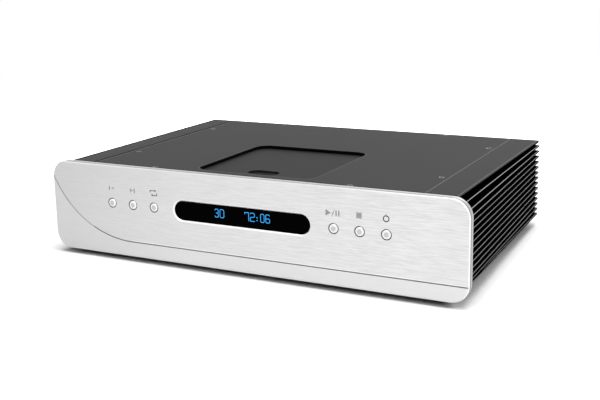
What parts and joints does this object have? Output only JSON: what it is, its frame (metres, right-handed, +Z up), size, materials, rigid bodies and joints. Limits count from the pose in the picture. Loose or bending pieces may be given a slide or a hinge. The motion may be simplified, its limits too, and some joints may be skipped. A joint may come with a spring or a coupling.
{
  "type": "cd player",
  "caption": "Full-width compact disc player with a brushed front panel, finned side walls and a lid that slides back over the disc well.",
  "frame": {"origin": "middle of the footprint, on the surface that the feet stand on", "axes": "+Z up, -Y towards the listener (the front panel), +X to the right seen from the front"},
  "size_m": [0.44, 0.3006, 0.096],
  "materials": {
    "panel_aluminium": "brushed satin",
    "button_metal": "satin",
    "display_pane": "gloss",
    "cover_anodised": "fine matt anodised",
    "lid_anodised": "fine matt anodised",
    "wall_anodised": "black anodised",
    "plated_sheet": "zinc plated",
    "rear_paint": "fine black powder coat",
    "screw_steel": "plain",
    "rubber": "matt",
    "well_moulding": "fine spark texture",
    "drive_plastic": "plain moulded",
    "sled_plastic": "plain moulded",
    "lens_plastic": "gloss",
    "polished_steel": "ground",
    "circuit_board": "solder mask",
    "component_black": "moulded",
    "capacitor_sleeve": "shrink sleeve",
    "tube_glass": "glass",
    "transformer_tape": "wound tape",
    "socket_gold": "gold plated",
    "socket_black": "moulded"
  },
  "bodies": {
    "chassis": {"front_panel": "panel_aluminium", "display_window": "display_pane", "sub_panel": "plated_sheet", "side_wall_left": "wall_anodised", "side_wall_right": "wall_anodised", "top_cover": "cover_anodised", "base_plate": "plated_sheet", "rear_panel": "rear_paint", "feet": "rubber", "lid_rail_left": "drive_plastic", "lid_rail_right": "drive_plastic", "lid_bumpers": "rubber", "disc_well": "well_moulding", "mechanism_deck": "plated_sheet", "mechanism_posts": "screw_steel", "damper_pads": "rubber", "spindle_motor": "plated_sheet", "sled_motor": "plated_sheet", "guide_rods": "polished_steel", "control_board": "circuit_board", "board_spacers": "polished_steel", "tact_switches": "component_black", "display_tube": "tube_glass", "main_board": "circuit_board", "power_board": "circuit_board", "board_chips": "component_black", "filter_capacitors": "capacitor_sleeve", "heat_sink": "wall_anodised", "toroid": "transformer_tape", "toroid_clamp": "screw_steel", "output_socket_left": "socket_gold", "output_socket_right": "socket_gold", "coaxial_socket": "socket_gold", "optical_socket": "socket_black", "mains_inlet": "socket_black", "switch_frame": "socket_black"},
    "lid": {"lid": "lid_anodised"},
    "spinner": {"turntable": "sled_plastic"},
    "sled": {"laser_sled": "sled_plastic"},
    "lens": {"objective_lens": "lens_plastic"},
    "gear": {"sled_gear": "drive_plastic"},
    "pinion": {"motor_pinion": "drive_plastic"},
    "rocker": {"mains_rocker": "socket_black"},
    "claw_1": {"clamp_claw_1": "polished_steel"},
    "claw_2": {"clamp_claw_2": "polished_steel"},
    "claw_3": {"clamp_claw_3": "polished_steel"},
    "button_previous": {"button_previous": "button_metal"},
    "button_next": {"button_next": "button_metal"},
    "button_repeat": {"button_repeat": "button_metal"},
    "button_play": {"button_play": "button_metal"},
    "button_stop": {"button_stop": "button_metal"},
    "button_power": {"button_power": "button_metal"}
  },
  "joints": [
    {"name": "lid_slide", "type": "slide", "parent": "chassis", "child": "lid", "axis": [0, 1, 0], "range_m": [0, 0.126]},
    {"name": "turntable_spin", "type": "hinge", "parent": "chassis", "child": "spinner", "pos_m": [0, -0.0639, 0.074], "axis": [0, 0, 1], "continuous": true},
    {"name": "sled_slide", "type": "slide", "parent": "chassis", "child": "sled", "axis": [1, 0, 0], "range_m": [0, 0.033]},
    {"name": "lens_focus", "type": "slide", "parent": "sled", "child": "lens", "axis": [0, 0, 1], "range_m": [-0.0004, 0.0004], "stiffness_N_per_m": 200},
    {"name": "gear_spin", "type": "hinge", "parent": "chassis", "child": "gear", "pos_m": [0.04, -0.03485, 0.062], "axis": [0, 0, 1], "range_deg": [0, 270.2]},
    {"name": "pinion_spin", "type": "hinge", "parent": "chassis", "child": "pinion", "pos_m": [0.022, -0.03485, 0.061], "axis": [0, 0, 1], "range_deg": [-540.3, 0]},
    {"name": "mains_rocker_tip", "type": "hinge", "parent": "chassis", "child": "rocker", "pos_m": [0.084, 0.1393, 0.045], "axis": [1, 0, 0], "range_deg": [0, 16]},
    {"name": "claw_1_slide", "type": "slide", "parent": "spinner", "child": "claw_1", "axis": [0, -1, 0], "range_m": [0, 0.0008], "stiffness_N_per_m": 300},
    {"name": "claw_2_slide", "type": "slide", "parent": "spinner", "child": "claw_2", "axis": [0.866, 0.5, 0], "range_m": [0, 0.0008], "stiffness_N_per_m": 300},
    {"name": "claw_3_slide", "type": "slide", "parent": "spinner", "child": "claw_3", "axis": [-0.866, 0.5, 0], "range_m": [0, 0.0008], "stiffness_N_per_m": 300},
    {"name": "button_previous_press", "type": "slide", "parent": "chassis", "child": "button_previous", "axis": [0, 1, 0], "range_m": [0, 0.0008], "stiffness_N_per_m": 500},
    {"name": "button_next_press", "type": "slide", "parent": "chassis", "child": "button_next", "axis": [0, 1, 0], "range_m": [0, 0.0008], "stiffness_N_per_m": 500},
    {"name": "button_repeat_press", "type": "slide", "parent": "chassis", "child": "button_repeat", "axis": [0, 1, 0], "range_m": [0, 0.0008], "stiffness_N_per_m": 500},
    {"name": "button_play_press", "type": "slide", "parent": "chassis", "child": "button_play", "axis": [0, 1, 0], "range_m": [0, 0.0008], "stiffness_N_per_m": 500},
    {"name": "button_stop_press", "type": "slide", "parent": "chassis", "child": "button_stop", "axis": [0, 1, 0], "range_m": [0, 0.0008], "stiffness_N_per_m": 500},
    {"name": "button_power_press", "type": "slide", "parent": "chassis", "child": "button_power", "axis": [0, 1, 0], "range_m": [0, 0.0008], "stiffness_N_per_m": 500}
  ],
  "couplings": [
    {"joint": "gear_spin", "follows": "sled_slide", "rad_per_m": 142.86},
    {"joint": "pinion_spin", "follows": "sled_slide", "rad_per_m": -285.71}
  ]
}
